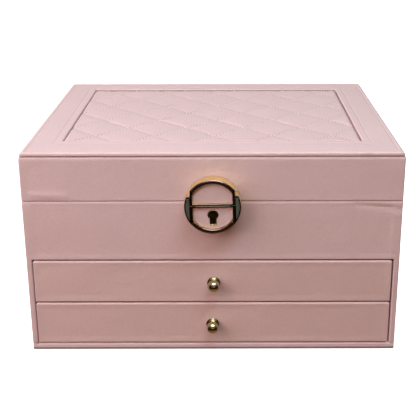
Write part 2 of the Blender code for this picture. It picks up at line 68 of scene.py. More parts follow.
CASE_NODES = ("front_frame", "side_wall_left", "side_wall_right", "back_wall", "bottom_board")
LID_WALLS = ("lid_wall_front", "lid_wall_back", "lid_wall_left", "lid_wall_right")
CASE_LOW, CASE_HIGH = span(*CASE_NODES)
SKIRT_LOW, SKIRT_HIGH = span(*LID_WALLS)
TOP_LOW, TOP_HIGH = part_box("lid_top_board")
PANEL_LOW, PANEL_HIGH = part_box("quilted_panel")
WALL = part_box("front_frame")[1].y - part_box("front_frame")[0].y
MIDDLE_Y = (TOP_LOW.y + TOP_HIGH.y) / 2
FRONT_Y = CASE_LOW.y
IN_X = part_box("side_wall_right")[0].x
IN_FRONT = CASE_LOW.y + WALL
IN_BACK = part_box("back_wall")[0].y
BOTTOM_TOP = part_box("bottom_board")[1].z
PANEL_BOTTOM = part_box("tray_floor")[0].z
SEAM_Z = (CASE_HIGH.z + SKIRT_LOW.z) / 2


# ---- materials
def node_maker(tree):
    """A function that adds a node to the tree, with its inputs set or linked."""
    def node(kind, inputs=None, **settings):
        made = tree.nodes.new(kind)
        for key, value in settings.items():
            setattr(made, key, value)
        for socket, value in (inputs or {}).items():
            if isinstance(value, bpy.types.NodeSocket):
                tree.links.new(value, made.inputs[socket])
            else:
                made.inputs[socket].default_value = value
        return made

    return node


def mixed(node, factor, first, second):
    """A colour between two others, each of them a colour or a socket."""
    made = node("ShaderNodeMix", {"Factor": factor, "A": first, "B": second}, data_type="RGBA")
    return made.outputs["Result"]


class Finish:
    """A material in the making. Where a call feeds the shader, a later one takes its place."""

    def __init__(self, name, constants):
        self.mat = bpy.data.materials.new(name)
        self.mat.use_nodes = True
        self.tree = self.mat.node_tree
        self.shader = self.tree.nodes["Principled BSDF"]
        self.node = node_maker(self.tree)
        self.place = self.node("ShaderNodeTexCoord").outputs["Object"]
        for socket, value in constants.items():
            self.shader.inputs[socket].default_value = value

    def link(self, value, socket):
        """Feed one of the shader's inputs."""
        self.tree.links.new(value, self.shader.inputs[socket])

    def clouds(self, scale, detail=2.0, **more):
        """A noise texture's value."""
        inputs = {"Vector": self.place, "Scale": scale, "Detail": detail, **more}
        return self.node("ShaderNodeTexNoise", inputs).outputs["Fac"]

    def bump(self, height, strength, depth, **more):
        """Raise the surface by a height; Normal may give another bump under it."""
        inputs = {"Height": height, "Strength": strength, "Distance": depth, **more}
        made = self.node("ShaderNodeBump", inputs)
        self.link(made.outputs["Normal"], "Normal")
        return made.outputs["Normal"]

    def tint(self, factor, *stops):
        """Colour the surface by a factor, from two (position, colour) pairs."""
        made = self.node("ShaderNodeValToRGB", {"Fac": factor})
        for element, (position, color) in zip(made.color_ramp.elements, stops):
            element.position = position
            element.color = (*color, 1.0)
        self.link(made.outputs["Color"], "Base Color")
        return made.outputs["Color"]

    def gloss(self, factor, low, high):
        """Spread the roughness between two values by a factor."""
        made = self.node("ShaderNodeMapRange", {"Value": factor, "To Min": low, "To Max": high})
        self.link(made.outputs["Result"], "Roughness")


def shade(color, factor):
    """A colour made darker, or lighter where the factor is above 1."""
    return tuple(min(1.0, c * factor) for c in color)


def leather(name, color, roughness=0.46, grain=1.0, grain_size=1.1 * MM, painted_shade=None):
    """Grained leatherette: shallow pebbles with fine creases, mottled a little in colour.

    The last argument, if given, darkens the leather where the mesh attribute of its name is 1: painted shade
    in the creases along the quilting and at the walls of the sunken field.
    """
    finish = Finish(name, {"Specular IOR Level": 0.42})
    cells = finish.node("ShaderNodeTexVoronoi", {"Vector": finish.place, "Scale": 1 / grain_size},
                        feature="DISTANCE_TO_EDGE")
    pebbles = finish.node("ShaderNodeMapRange", {"Value": cells.outputs["Distance"], "From Max": 0.22})
    fine = finish.clouds(3.2 / grain_size, 3.0)
    broad = finish.clouds(26.0, 7.0, Roughness=0.75)
    height = finish.node("ShaderNodeMath", {0: pebbles.outputs["Result"], 1: fine}, operation="ADD")
    grained = finish.bump(height.outputs["Value"], 0.28 * grain, 0.06 * MM)
    rumple = finish.clouds(135.0, 3.0, Distortion=0.7)
    finish.bump(rumple, 0.5 * grain, 0.7 * MM, Normal=grained)
    mottled = finish.tint(broad, (0.3, shade(color, 0.95)), (0.7, shade(color, 1.04)))
    tone = mixed(finish.node, pebbles.outputs["Result"], (*shade(color, 0.90), 1.0), mottled)
    if painted_shade:
        shade_paint = finish.node("ShaderNodeAttribute", attribute_name="painted_shade")
        tone = mixed(finish.node, shade_paint.outputs["Fac"], tone, (*shade(color, painted_shade), 1.0))
    finish.link(tone, "Base Color")
    finish.gloss(broad, roughness - 0.05, roughness + 0.06)
    return finish.mat


def velvet(name, color, pile=0.45 * MM):
    """Short velvet: matt, with a sheen at grazing angles and a brushed mottling."""
    finish = Finish(name, {"Roughness": 0.95, "Specular IOR Level": 0.2, "Sheen Weight": 0.5,
                           "Sheen Roughness": 0.4, "Sheen Tint": (*shade(color, 1.3), 1.0)})
    tufts = finish.clouds(1 / pile)
    brushed = finish.clouds(34.0, 3.0, Distortion=0.6)
    both = finish.node("ShaderNodeMath", {0: tufts, 1: brushed}, operation="ADD")
    half = finish.node("ShaderNodeMath", {0: both.outputs["Value"], 1: 0.5}, operation="MULTIPLY")
    finish.tint(half.outputs["Value"], (0.35, shade(color, 0.86)), (0.65, shade(color, 1.1)))
    finish.bump(tufts, 0.35, 0.15 * MM)
    return finish.mat


def metal(name, color, roughness):
    """Polished plated metal with faint waviness and a little uneven gloss."""
    finish = Finish(name, {"Metallic": 1.0})
    smears = finish.clouds(90.0, 5.0)
    finish.bump(finish.clouds(260.0), 0.12, 0.08 * MM)
    finish.tint(smears, (0.3, shade(color, 0.93)), (0.7, color))
    finish.gloss(smears, roughness * 0.7, roughness * 1.4)
    return finish.mat


def silvered_glass(name):
    """A mirror with a faint haze."""
    finish = Finish(name, {"Metallic": 1.0})
    haze = finish.clouds(18.0, 6.0)
    finish.tint(haze, (0.2, (0.84, 0.87, 0.88)), (0.8, (0.89, 0.91, 0.91)))
    finish.gloss(haze, 0.01, 0.045)
    return finish.mat


def plain_felt(name, color):
    """Pressed felt."""
    finish = Finish(name, {"Roughness": 1.0})
    fibres = finish.clouds(1900.0, 3.0)
    finish.tint(fibres, (0.35, shade(color, 0.7)), (0.65, shade(color, 1.2)))
    finish.bump(fibres, 0.5, 0.2 * MM)
    return finish.mat


def thread(name, color):
    """Twisted sewing thread."""
    finish = Finish(name, {"Roughness": 0.6})
    twist = finish.node("ShaderNodeTexWave", {"Vector": finish.place, "Scale": 900.0, "Distortion": 1.5},
                        bands_direction="DIAGONAL").outputs["Fac"]
    finish.tint(twist, (0.2, shade(color, 0.82)), (0.8, color))
    finish.bump(twist, 0.3, 0.05 * MM)
    return finish.mat


PINK = (0.660, 0.425, 0.405)
LEATHER = leather("pink leatherette", PINK)
# The quilted leatherette carries painted shade in its creases, marked point by point on its meshes.
QUILT_LEATHER = leather("quilted leatherette", PINK, painted_shade=0.5)
INLAY_LEATHER = leather("inlay leatherette", shade(PINK, 0.96), grain=1.8, grain_size=0.7 * MM)
# Darkened leatherette for the strip along the case's bottom edge: painted shade.
BASE_SHADE_LEATHER = leather("leatherette with painted shade at the base", shade(PINK, 0.45))
DRAWER_LEATHER = leather("drawer leatherette", (0.650, 0.408, 0.378))
VELVET = velvet("rose velvet", (0.60, 0.42, 0.39))
FELT = plain_felt("base felt", (0.20, 0.13, 0.12))
GOLD = metal("gold plating", (0.83, 0.69, 0.36), 0.09)
SATIN_GOLD = metal("satin gold", (0.95, 0.74, 0.36), 0.36)
KNOB_GOLD = metal("knob gold", (0.58, 0.51, 0.30), 0.13)
# Grey-green metal on the flats of the lock's ears: painted reflection of dark surroundings in the gold.
EAR_REFLECTION = metal("ears with painted reflection", (0.30, 0.37, 0.31), 0.5)
# A darkened copy of the gold for the lock's front faces: painted shade in place of the dark surroundings they
# reflect.
SHADED_LOCK_GOLD = metal("lock gold with painted shade", (0.25, 0.17, 0.15), 0.11)
# Near-black metal for the lock's tumbler, back plate and tongue: painted shade inside the keyhole.
SHADED_WORKS = metal("inner works painted dark", (0.10, 0.095, 0.075), 0.35)
MIRROR = silvered_glass("mirror")
THREAD = thread("pink thread", (0.81, 0.60, 0.585))
BORDER_THREAD = thread("border thread", shade(PINK, 0.95))


# ---- mesh helpers
def mesh_from(name, work):
    """A mesh from a bmesh, which is freed."""
    mesh = bpy.data.meshes.new(name)
    work.to_mesh(mesh)
    work.free()
    return mesh


def object_from(name, data):
    """An object at the origin from a bmesh, which is freed, or from a curve, light or camera."""
    if isinstance(data, bmesh.types.BMesh):
        data = mesh_from(name, data)
    thing = bpy.data.objects.new(name, data)
    bpy.context.scene.collection.objects.link(thing)
    return thing


def applied(thing, *helpers):
    """An object with its modifiers applied, in world space, as a bmesh; the objects are removed."""
    bpy.context.view_layer.update()
    depsgraph = bpy.context.evaluated_depsgraph_get()
    mesh = bpy.data.meshes.new_from_object(thing.evaluated_get(depsgraph))
    mesh.transform(thing.matrix_world)
    work = bmesh.new()
    work.from_mesh(mesh)
    bpy.data.meshes.remove(mesh)
    for used in (thing, *helpers):
        bpy.data.objects.remove(used)
    return work


def box_mesh(low, high):
    """A box between two corners, as a bmesh."""
    work = bmesh.new()
    low, high = Vector(low), Vector(high)
    place = Matrix.Translation((low + high) / 2) @ Matrix.Diagonal((*(high - low), 1.0))
    bmesh.ops.create_cube(work, size=1.0, matrix=place)
    return work


def carved(body, cuts, matrix=Matrix.Identity(4)):
    """An object with box-shaped cuts in a matrix's frame, as a bmesh; the object is removed."""
    cutters = [object_from("cut", box_mesh(*cut)) for cut in cuts]
    for cutter in cutters:
        cutter.matrix_world = matrix
        cutting = body.modifiers.new("cut", "BOOLEAN")
        cutting.operation = "DIFFERENCE"
        cutting.solver = "EXACT"
        cutting.object = cutter
    return applied(body, *cutters)


def rounded(work, width, segments, **limit):
    """A bmesh with the edges that limit picks out bevelled."""
    body = object_from("body", work)
    rounding = body.modifiers.new("round", "BEVEL")
    rounding.width = width
    rounding.segments = segments
    for key, value in limit.items():
        setattr(rounding, key, value)
    return applied(body)


def hollowed_box(low, high, cuts, radius, softness=None, segments=5):
    """A box with box-shaped cuts and rounded edges, as a bmesh.

    softness(middle, along) gives an edge's share of the radius from its middle and its direction.
    """
    work = carved(object_from("body", box_mesh(low, high)), cuts)
    shares = work.edges.layers.float.new("bevel_weight_edge")
    for edge in work.edges:
        if len(edge.link_faces) == 2 and edge.calc_face_angle() > 0.5:
            middle = (edge.verts[0].co + edge.verts[1].co) / 2
            along = (edge.verts[1].co - edge.verts[0].co).normalized()
            edge[shares] = softness(middle, along) if softness else 1.0
    return rounded(work, radius, segments, limit_method="WEIGHT")


def bridge(work, rings, backwards=False):
    """Faces between closed rings of points; a ring may be one point repeated."""
    for first, second in zip(rings, rings[1:]):
        for k in range(len(first)):
            n = (k + 1) % len(first)
            corners = (first[k], first[n], second[n], second[k])
            if backwards:
                corners = (first[k], second[k], second[n], first[n])
            unique = list(dict.fromkeys(corners))
            if len(unique) > 2:
                work.faces.new(unique)


def lathe(profile, sides, backwards=False):
    """A surface turned about Z from a profile of radius and height, as a bmesh."""
    work = bmesh.new()
    angles = [2 * math.pi * k / sides for k in range(sides)]
    rings = []
    for radius, height in profile:
        if radius < 1e-6:
            rings.append([work.verts.new((0, 0, height))] * sides)
        else:
            points = [(radius * math.cos(a), radius * math.sin(a), height) for a in angles]
            rings.append([work.verts.new(point) for point in points])
    bridge(work, rings, backwards)
    return work


def steps_between(low, high, pitch):
    """Even steps of about a pitch between two ends, without the ends."""
    count = max(1, round((high - low) / pitch))
    return [low + (high - low) * i / count for i in range(1, count)]


def slice_mesh(work, cuts):
    """Cut a bmesh by planes: cuts holds the positions for x, y and z."""
    for axis, positions in enumerate(cuts):
        normal = Vector((0, 0, 0))
        normal[axis] = 1.0
        for position in sorted(set(round(p, 7) for p in positions)):
            geometry = work.verts[:] + work.edges[:] + work.faces[:]
            bmesh.ops.bisect_plane(work, geom=geometry, dist=1e-7, plane_co=normal * position,
                                   plane_no=normal)


def smooth_step(low, high, value):
    """0 up to low, 1 from high on, and a smooth rise between them."""
    t = min(1.0, max(0.0, (value - low) / (high - low)))
    return t * t * (3 - 2 * t)


SOFT_EDGE = 2.6 * MM          # radius of the roundest wrapped edges


def is_outer(middle):
    """Whether a point lies on the outside of the walls, and not on their inside."""
    return abs(middle.x) > IN_X + 1 * MM or middle.y < IN_FRONT - 1 * MM or middle.y > IN_BACK + 1 * MM


EDGE_CUTS = [d * MM for d in (1.6, 2.6, 3.6, 4.8, 6.2, 8.0)]
GRID = 5 * MM


def edge_planes(edges):
    """Plane positions close to each edge of a face, and a coarse grid between them."""
    planes = list(steps_between(min(edges), max(edges), GRID))
    for edge in edges:
        planes += [edge + way * d for d in EDGE_CUTS for way in (-1, 1)]
    return [p for p in planes if min(edges) < p < max(edges)]


ROLL_WIDTH = 5 * MM           # the front rolls back over this height below an upper edge
FLAT = 0.97                   # a normal's part along one axis from which a point is on a flat face


def crease_depth(crease, x, z):
    """How far one stroke moves the front at a point; a stroke runs between two points."""
    start, end, width, depth = crease
    start, along = Vector(start), Vector(end) - Vector(start)
    share = min(1.0, max(0.0, (Vector((x, z)) - start).dot(along) / along.length_squared))
    away = (Vector((x, z)) - start - along * share).length
    return depth * math.exp(-(away / width) ** 2)


def pad_faces(work, edges, tops, roll, creases=(), rim=0.24 * MM, wave=0.17 * MM, seed=0.0):
    """Turn flat faces into glued leatherette: a raised rim where the leather is folded, faint waves.

    The front rolls back by roll below each of its upper edges, whose heights are tops. Each of the
    creases is the start, end, width and depth of a dent in the front, or of a bulge if below 0.
    """
    work.normal_update()
    outline = [(min(e), max(e)) for e in edges]
    moves = []
    for vert in work.verts:
        flat_axis = max(range(3), key=lambda i: abs(vert.normal[i]))
        if abs(vert.normal[flat_axis]) < FLAT:
            moves.append(rim)
            continue
        lines = edges if vert.normal.y < -FLAT else outline
        near = min(abs(vert.co[i] - e) for i in range(3) if i != flat_axis for e in lines[i])
        fold = rim * (1 - smooth_step(1.2 * MM, 5 * MM, near))
        place = Vector((vert.co.x * 26, vert.co.y * 26, vert.co.z * 48)) + Vector((seed, seed * 1.7, 0))
        ripple = noise.noise(place) + 0.4 * noise.noise(place * 2.3)
        moves.append(fold + wave * ripple * smooth_step(0.5 * MM, 6 * MM, near))
    for vert, move in zip(work.verts, moves):
        below = min([top - vert.co.z for top in tops if top > vert.co.z - 0.01 * MM], default=1.0)
        if vert.co.y < edges[1][0] + 2 * SOFT_EDGE and below < ROLL_WIDTH:
            vert.co.y += roll * (1 - max(0.0, below) / ROLL_WIDTH) ** 2
        if vert.co.y < edges[1][0] + 2 * SOFT_EDGE:
            vert.co.y += sum(crease_depth(crease, vert.co.x, vert.co.z) for crease in creases)
        vert.co += vert.normal * (move - rim)


def finish_mesh(name, work, materials, choose=None):
    """Shade a bmesh smooth, give it its materials, and keep flat faces flat."""
    for face in work.faces:
        face.smooth = True
        face.material_index = choose(face) if choose else 0
    piece = object_from(name, work)
    for mat in materials:
        piece.data.materials.append(mat)
    weighting = piece.modifiers.new("flat faces", "WEIGHTED_NORMAL")
    weighting.keep_sharp = True
    return piece


def settle(piece, body, slot, *nodes):
    """Put a piece on its body, in place of any CAD nodes given; the slot is not used."""
    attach(piece, body)
    if nodes:
        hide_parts(*nodes)
    return piece


# ---- wrapped boards
BASE_SHADE_HEIGHT = 2.0 * MM          # height of the painted shade along the bottom of the case's walls
# How far the wraps reach below and above their CAD walls. CASE_RISE and SKIRT_DROP together take up
# the whole gap between case and lid, so the waves of the two wraps cross a little there.
CASE_DROP = 0.5 * MM
CASE_RISE = 0.35 * MM
SKIRT_DROP = 0.25 * MM
SKIRT_RISE = 0.38 * MM


def make_case_shell():
    """The case: one wrap round the walls and the rails beside the drawers, open above and in front."""
    past = 10 * MM
    low, high = CASE_LOW - Vector((0, 0, CASE_DROP)), CASE_HIGH + Vector((0, 0, CASE_RISE))
    cuts = [((-IN_X, IN_FRONT, BOTTOM_TOP), (IN_X, IN_BACK, CASE_HIGH.z + past)),
            ((-IN_X, FRONT_Y - past, BOTTOM_TOP), (IN_X, IN_FRONT + past, PANEL_BOTTOM - 0.1 * MM))]

    def softness(middle, along):
        if abs(along.z) > 0.5:
            return 0.4
        if middle.z > PANEL_BOTTOM + 1 * MM:
            if not is_outer(middle):
                return 0.3
            return 1.0 if abs(along.x) > 0.5 else 0.4
        if middle.z > BOTTOM_TOP + 1 * MM:
            return 0.3
        if abs(along.x) < 0.5 or middle.y > 0:
            return 0.35
        return 0.85 if middle.z > CASE_LOW.z + 1 * MM else 0.45

    work = hollowed_box(low, high, cuts, SOFT_EDGE, softness)
    edges = ([CASE_LOW.x, -IN_X, IN_X, CASE_HIGH.x], [CASE_LOW.y, CASE_HIGH.y],
             [low.z, BOTTOM_TOP, PANEL_BOTTOM, high.z])
    planes = [edge_planes(e) for e in edges]
    planes[2].append(low.z + BASE_SHADE_HEIGHT)
    slice_mesh(work, planes)
    crease = ((98 * MM, high.z - 3 * MM), (high.x, high.z - 6.5 * MM), 1.5 * MM, 0.45 * MM)
    pad_faces(work, edges, (high.z, BOTTOM_TOP), 0.45 * MM, [crease], seed=3.0)

    def cover(face):
        at = face.calc_center_median()
        # The strip along the bottom edge, all round, takes the darkened leather: painted shade.
        if at.z < low.z + BASE_SHADE_HEIGHT:
            return 2
        deep_front = IN_FRONT - 1 * MM if at.z > PANEL_BOTTOM else IN_FRONT + 1 * MM
        return int(abs(at.x) < IN_X + 0.6 * MM and deep_front < at.y < IN_BACK + 0.6 * MM
                   and BOTTOM_TOP - 0.6 * MM < at.z < CASE_HIGH.z - 1.5 * MM)

    shell = finish_mesh("case_shell", work, [LEATHER, VELVET, BASE_SHADE_LEATHER], cover)
    return settle(shell, "case", "leather", *CASE_NODES)


def make_lid_skirt():
    """The lid's walls; their top stands close under the top board, so the gap between them is thin."""
    low, high = SKIRT_LOW - Vector((0, 0, SKIRT_DROP)), SKIRT_HIGH + Vector((0, 0, SKIRT_RISE))
    cuts = [((-IN_X, IN_FRONT, SKIRT_LOW.z - 0.01), (IN_X, IN_BACK, SKIRT_HIGH.z + 0.01))]

    def softness(middle, along):
        if abs(along.z) > 0.5:
            return 0.4
        if not is_outer(middle):
            return 0.25
        if middle.z < SEAM_Z + 1 * MM:
            return 0.12
        return 1.0 if abs(along.x) > 0.5 else 0.6

    work = hollowed_box(low, high, cuts, SOFT_EDGE, softness)
    edges = ([SKIRT_LOW.x, SKIRT_HIGH.x], [SKIRT_LOW.y, SKIRT_HIGH.y], [low.z, high.z])
    slice_mesh(work, [edge_planes(e) for e in edges])
    bulge = ((-122 * MM, low.z + 4.5 * MM), (-102 * MM, low.z + 3.5 * MM), 2.5 * MM, -0.5 * MM)
    pad_faces(work, edges, (high.z,), 0.4 * MM, [bulge], rim=0.1 * MM, seed=11.0)

    def inside(face):
        at = face.calc_center_median()
        return int(abs(at.x) < IN_X + 0.6 * MM and IN_FRONT - 0.6 * MM < at.y < IN_BACK + 0.6 * MM
                   and at.z > SKIRT_LOW.z + 1.5 * MM)

    skirt = finish_mesh("lid_skirt", work, [LEATHER, VELVET], inside)
    return settle(skirt, "lid", "leather", *LID_WALLS)


def make_drawer_front(which):
    """A drawer's wrapped front, a little smaller than its CAD board at the top and the right."""
    node = f"drawer_{which}_front"
    low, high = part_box(node)
    high -= Vector((0.35 * MM, 0, (0.25 if which == "upper" else 0.3) * MM))

    def softness(middle, along):
        if abs(along.z) > 0.5:
            return 0.35
        return 0.9 if middle.z > (low.z + high.z) / 2 else 0.35

    work = hollowed_box(low, high, [], SOFT_EDGE, softness)
    edges = ([low.x, high.x], [low.y, high.y], [low.z, high.z])
    slice_mesh(work, [edge_planes(edges[0]), [], edge_planes(edges[2])])
    padded = (edges[0], [low.y - 1, high.y + 1], edges[2])
    creases = []
    if which == "lower":
        creases.append(((-112 * MM, high.z - 6 * MM), (-50 * MM, high.z - 4.5 * MM), 2 * MM, 0.4 * MM))
    pad_faces(work, padded, (high.z,), 0.45 * MM, creases, rim=0.2 * MM,
              seed=21.0 if which == "upper" else 34.0)
    front = finish_mesh(f"{node}_leather", work, [DRAWER_LEATHER])
    return settle(front, f"drawer_{which}", "leather", node)


make_case_shell()
make_lid_skirt()
for drawer in ("upper", "lower"):
    make_drawer_front(drawer)


# ---- the lid's top
FIELD_LOW = Vector((PANEL_LOW.x - 0.3 * MM, PANEL_LOW.y - 0.3 * MM))
FIELD_HIGH = Vector((PANEL_HIGH.x + 0.3 * MM, PANEL_HIGH.y + 0.3 * MM))
OUTER_SEAM = 4 * MM           # outer row of stitches, in from the board's edge
INNER_SEAM = 5.5 * MM         # inner row of stitches, out from the sunken field


def seam_rectangles():
    """The two stitched rectangles on the top board: left, front, right and back."""
    outer = (TOP_LOW.x + OUTER_SEAM, TOP_LOW.y + OUTER_SEAM, TOP_HIGH.x - OUTER_SEAM, TOP_HIGH.y - OUTER_SEAM)
    inner = (FIELD_LOW.x - INNER_SEAM, FIELD_LOW.y - INNER_SEAM,
             FIELD_HIGH.x + INNER_SEAM, FIELD_HIGH.y + INNER_SEAM)
    return outer, inner


def distance_to_rectangle(x, y, rectangle):
    """How far a point is from a rectangle's outline."""
    x0, y0, x1, y1 = rectangle
    dx = max(x0 - x, x - x1)
    dy = max(y0 - y, y - y1)
    if dx <= 0 and dy <= 0:
        return -max(dx, dy)
    return math.hypot(max(dx, 0), max(dy, 0))


def mark_painted_shade(piece, darkness):
    """Store how much painted shade darkens the leather at each point, as a mesh attribute for its material.
    """
    marks = piece.data.attributes.new("painted_shade", "FLOAT", "POINT")
    for vert, mark in zip(piece.data.vertices, marks.data):
        mark.value = darkness(vert.co)


def make_top_board():
    """The top board round its sunken field, with a groove along each row of stitches."""
    low = TOP_LOW + Vector((0, 0.5 * MM, 0.5 * MM))
    cut = ((FIELD_LOW.x, FIELD_LOW.y, TOP_LOW.z - 0.01), (FIELD_HIGH.x, FIELD_HIGH.y, TOP_HIGH.z + 0.01))

    def softness(middle, along):
        if middle.z < TOP_LOW.z + 1 * MM:
            return 0.03
        if middle.y < FIELD_LOW.y - 1 * MM:
            return 0.6
        outside = abs(middle.x) > FIELD_HIGH.x + 1 * MM or middle.y > FIELD_HIGH.y + 1 * MM
        return 0.92 if outside else 0.4

    work = hollowed_box(low, TOP_HIGH, [cut], SOFT_EDGE, softness)
    outer, inner = seam_rectangles()
    across = [-1.1 * MM, -0.6 * MM, -0.3 * MM, 0, 0.3 * MM, 0.6 * MM, 1.1 * MM]
    planes = [[], [], []]
    for axis in (0, 1):
        for rectangle in (outer, inner):
            planes[axis] += [rectangle[axis + end] + d for end in (0, 2) for d in across]
        planes[axis] += steps_between(TOP_LOW[axis], TOP_HIGH[axis], GRID)
    slice_mesh(work, planes)
    work.normal_update()
    for vert in work.verts:
        if vert.normal.z > 0.8:
            near = min(distance_to_rectangle(vert.co.x, vert.co.y, r) for r in (outer, inner))
            vert.co.z -= 0.28 * MM * math.exp(-(near / (0.55 * MM)) ** 2)
            vert.co.z += 0.05 * MM * noise.noise(vert.co * 45)
    board = finish_mesh("lid_top_leather", work, [QUILT_LEATHER])

    # Painted shade on the lower part of the sunken field's right and back walls.
    def darkness(at):
        walls = ((at.x - FIELD_HIGH.x, 0.3), (at.y - FIELD_HIGH.y, 0.8))
        near = [dark for gap, dark in walls if abs(gap) < 0.3 * MM and at.z < TOP_HIGH.z - 0.6 * MM]
        return max(near, default=0.0)

    mark_painted_shade(board, darkness)
    return settle(board, "lid", "top_leather", "lid_top_board")


QUILT_X = 42.7 * MM           # width of a quilted diamond
QUILT_Y = 44.9 * MM           # its length from front to back
QUILT_SKEW = 0.022            # the pattern leans a little to the right towards the back
QUILT_RISE = 0.95 * MM
QUILT_BASE = TOP_HIGH.z - 1.15 * MM
# The panel's border at its left, right, front and back; BORDER_SHADES is the painted shade in the crease
# there.
BORDER_DIPS = (0.5 * MM, 1.0 * MM, 0.3 * MM, 1.3 * MM)        # how far it is drawn down
BORDER_WIDTHS = (1.6 * MM, 2.6 * MM, 2.6 * MM, 6.5 * MM)      # over how wide a strip
BORDER_SHADES = ((0.15, 0.7 * MM), (0.5, 1.3 * MM), (0.0, 1 * MM), (0.75, 2.2 * MM))  # darkness, width
QUILT_MIDDLE = Vector((0, (PANEL_LOW.y + PANEL_HIGH.y) / 2))
TUCK_Y = QUILT_MIDDLE.y - 0.75 * QUILT_Y    # one row of the lines is drawn in deeper


def diamond(x, y):
    """Coordinates across the two families of quilting lines; whole numbers lie on a line."""
    v = (y - QUILT_MIDDLE.y) / QUILT_Y
    u = (x - QUILT_MIDDLE.x - QUILT_SKEW * (y - FIELD_LOW.y)) / QUILT_X
    return u + v + 0.5, u - v + 0.5


def line_distance(x, y):
    """How far a point of the panel is from the nearest quilting line."""
    shortest = QUILT_X * QUILT_Y / math.hypot(QUILT_X, QUILT_Y)
    return min(abs(c - round(c)) for c in diamond(x, y)) * shortest


def quilt_height(x, y):
    """Pillow height over a diamond, 0 on the lines."""
    a, b = diamond(x, y)
    pillow = abs(math.sin(math.pi * a) * math.sin(math.pi * b))
    valley = 1 - math.exp(-line_distance(x, y) / (1.1 * MM))
    tuck = math.exp(-((y - TUCK_Y) / (9 * MM)) ** 2 - ((a - round(a)) / 0.05) ** 2)
    return QUILT_RISE * (0.5 * pillow ** 0.6 + 0.5 * valley) - 0.45 * MM * tuck


def border_gaps(x, y):
    """How far a point of the panel is from the frame at its left, right, front and back."""
    return x - FIELD_LOW.x, FIELD_HIGH.x - x, y - FIELD_LOW.y, FIELD_HIGH.y - y


def make_quilt():
    """The quilted panel: pillows between the lines, dipping under the frame at its border."""
    pitch = 0.95 * MM
    low = Vector((FIELD_LOW.x + 0.3 * MM, FIELD_LOW.y + 0.3 * MM))
    high = Vector((FIELD_HIGH.x - 0.3 * MM, FIELD_HIGH.y - 0.3 * MM))
    columns = round((high.x - low.x) / pitch)
    rows = round((high.y - low.y) / pitch)
    work = bmesh.new()
    bmesh.ops.create_grid(work, x_segments=columns, y_segments=rows, size=0.5)
    for vert in work.verts:
        x = low.x + (vert.co.x + 0.5) * (high.x - low.x)
        y = low.y + (vert.co.y + 0.5) * (high.y - low.y)
        rises = [smooth_step(-0.3 * MM, width, gap) for gap, width in zip(border_gaps(x, y), BORDER_WIDTHS)]
        dip = max(depth * (1 - rise) for depth, rise in zip(BORDER_DIPS, rises))
        wave = 0.10 * MM * noise.noise(Vector((x * 60, y * 60, 4.2)))
        vert.co = Vector((x, y, QUILT_BASE - dip + min(rises) * (quilt_height(x, y) + wave)))
    skirt = bmesh.ops.extrude_face_region(work, geom=work.faces[:])
    for item in skirt["geom"]:
        if isinstance(item, bmesh.types.BMVert):
            item.co.z = PANEL_LOW.z
    bmesh.ops.recalc_face_normals(work, faces=work.faces)
    panel = finish_mesh("quilted_leather", work, [QUILT_LEATHER])

    # Painted shade along the quilting lines and in the crease at the panel's border.
    def darkness(at):
        shade_paint = 0.75 * math.exp(-(line_distance(at.x, at.y) / (0.62 * MM)) ** 2)
        return max(shade_paint, *(strength * math.exp(-(gap / width) ** 2) for gap, (strength, width)
                           in zip(border_gaps(at.x, at.y), BORDER_SHADES)))

    mark_painted_shade(panel, darkness)
    return settle(panel, "lid", "top_leather", "quilted_panel")


STITCH = 1.75 * MM
STITCH_PITCH = 3.3 * MM
THREAD_R = 0.38 * MM


def add_stitch(work, start, end, up, radius):
    """One visible thread: a thin lens-shaped tube whose ends dive into the leather."""
    along = end - start
    side = up.cross(along).normalized()
    rings = []
    steps, sides = 5, 6
    for i in range(steps + 1):
        t = i / steps
        lift = math.sin(math.pi * t)
        middle = start + along * t + up * (radius * (1.3 * lift - 0.7))
        thick = radius * (0.45 + 0.55 * lift ** 0.5)
        ring = []
        for k in range(sides):
            a = 2 * math.pi * k / sides
            ring.append(work.verts.new(middle + side * (thick * math.cos(a)) + up * (thick * math.sin(a))))
        rings.append(ring)
    bridge(work, rings)
    work.faces.new(rings[0][::-1])
    work.faces.new(rings[-1])


def stitch_line(work, start, end, height, radius=THREAD_R):
    """A row of stitches along a straight line, at the height that a function gives."""
    along = (end - start).normalized()
    length = (end - start).length
    count = int(length / STITCH_PITCH)
    for i in range(count):
        first = start + along * ((i + 0.5) * length / count - STITCH / 2)
        last = first + along * STITCH
        ends = [Vector((p.x, p.y, height(p.x, p.y))) for p in (first, last)]
        add_stitch(work, *ends, Vector((0, 0, 1)), radius)


def clip_line(point, direction, low, high):
    """The stretch of a line inside a rectangle, as two points, or None."""
    t0, t1 = -1.0, 1.0
    for axis in (0, 1):
        a = (low[axis] - point[axis]) / direction[axis]
        b = (high[axis] - point[axis]) / direction[axis]
        t0, t1 = max(t0, min(a, b)), min(t1, max(a, b))
    if t1 - t0 < 2 * STITCH_PITCH:
        return None
    return point + direction * t0, point + direction * t1


